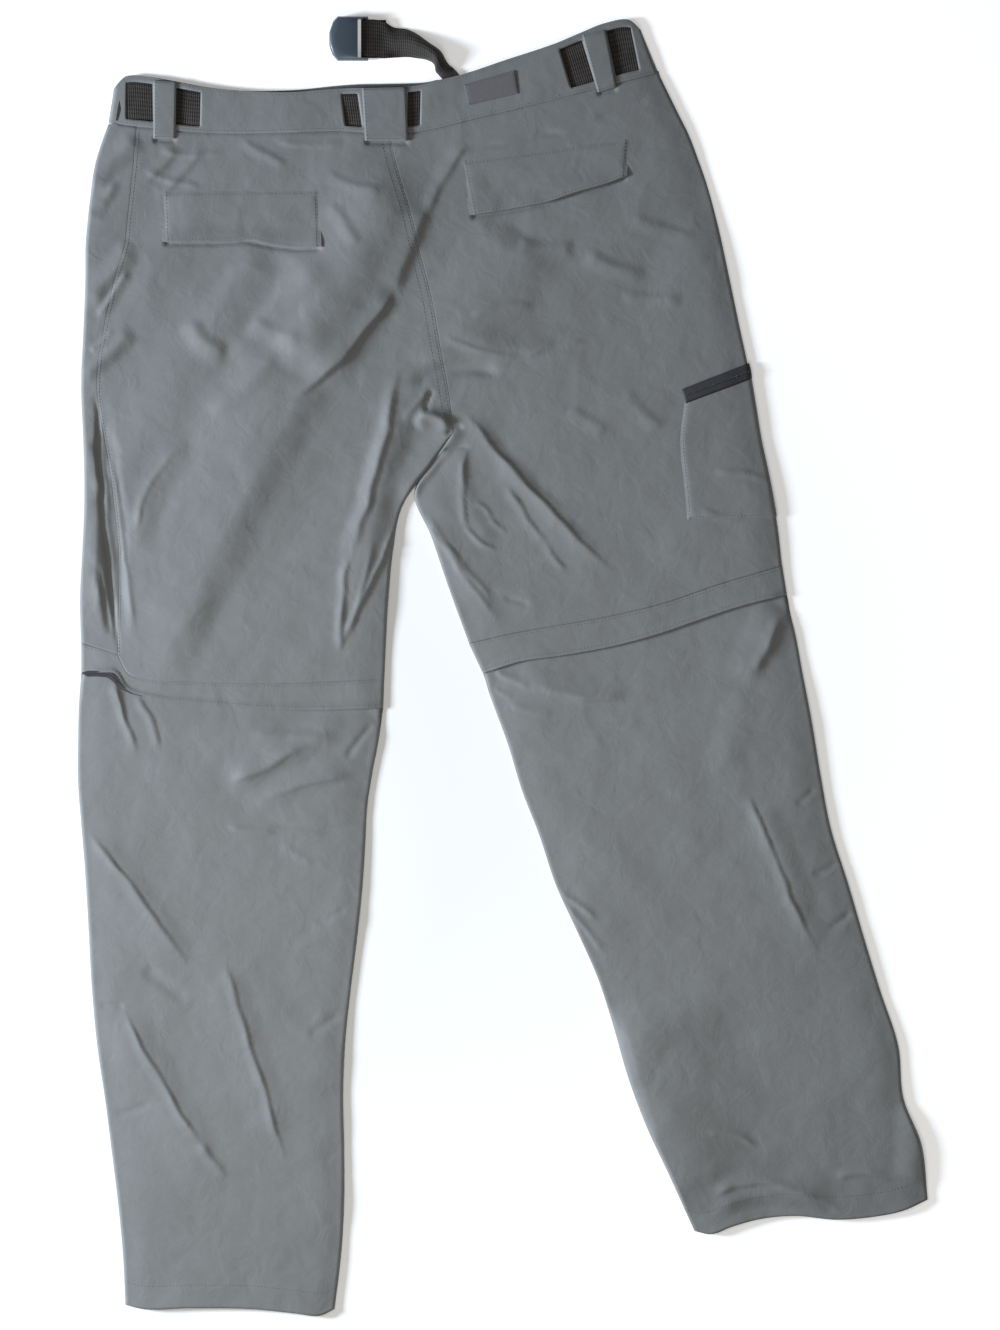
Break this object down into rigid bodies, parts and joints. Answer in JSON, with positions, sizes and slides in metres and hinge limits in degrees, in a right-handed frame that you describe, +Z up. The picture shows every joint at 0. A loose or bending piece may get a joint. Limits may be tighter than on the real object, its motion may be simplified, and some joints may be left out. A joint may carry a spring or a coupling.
{
  "type": "convertible zip-off trousers",
  "caption": "Convertible trousers with zip-off lower legs, webbing belt and buckle, laid flat on a surface with the back up.",
  "frame": {"origin": "centre of the trousers' bounding box in X and Y, on the surface they lie on", "axes": "+Z up out of the surface, the back of the trousers faces it; +Y from the hems to the waist; +X to the wearer's right"},
  "size_m": [0.8082, 1.2342, 0.0125],
  "materials": {
    "nylon": "matt plain-woven nylon, washed and creased",
    "webbing": "matt ribbed nylon webbing",
    "zip_tape": "matt woven zip tape",
    "buckle_plastic": "semi-gloss moulded plastic",
    "patch": "matt bare patch"
  },
  "bodies": {
    "root": {"back_left": "nylon", "back_right": "nylon", "front_left": "nylon", "front_right": "nylon", "lower_back_left": "nylon", "lower_back_right": "nylon", "lower_front_left": "nylon", "lower_front_right": "nylon", "waistband_back": "nylon", "waistband_front_left": "nylon", "waistband_front_right": "nylon", "belt": "webbing", "belt_end": "webbing", "buckle": "buckle_plastic", "belt_loop_left": "nylon", "belt_loop_centre": "nylon", "belt_loop_right": "nylon", "pocket_flap_left": "nylon", "pocket_flap_right": "nylon", "zip_band_left": "nylon", "zip_band_right": "nylon", "zip_band_under_left": "nylon", "zip_band_under_right": "nylon", "knee_zip_left": "zip_tape", "knee_zip_right": "zip_tape", "cargo_pocket": "nylon", "cargo_zip": "zip_tape", "waist_patch": "patch"}
  },
  "joints": []
}
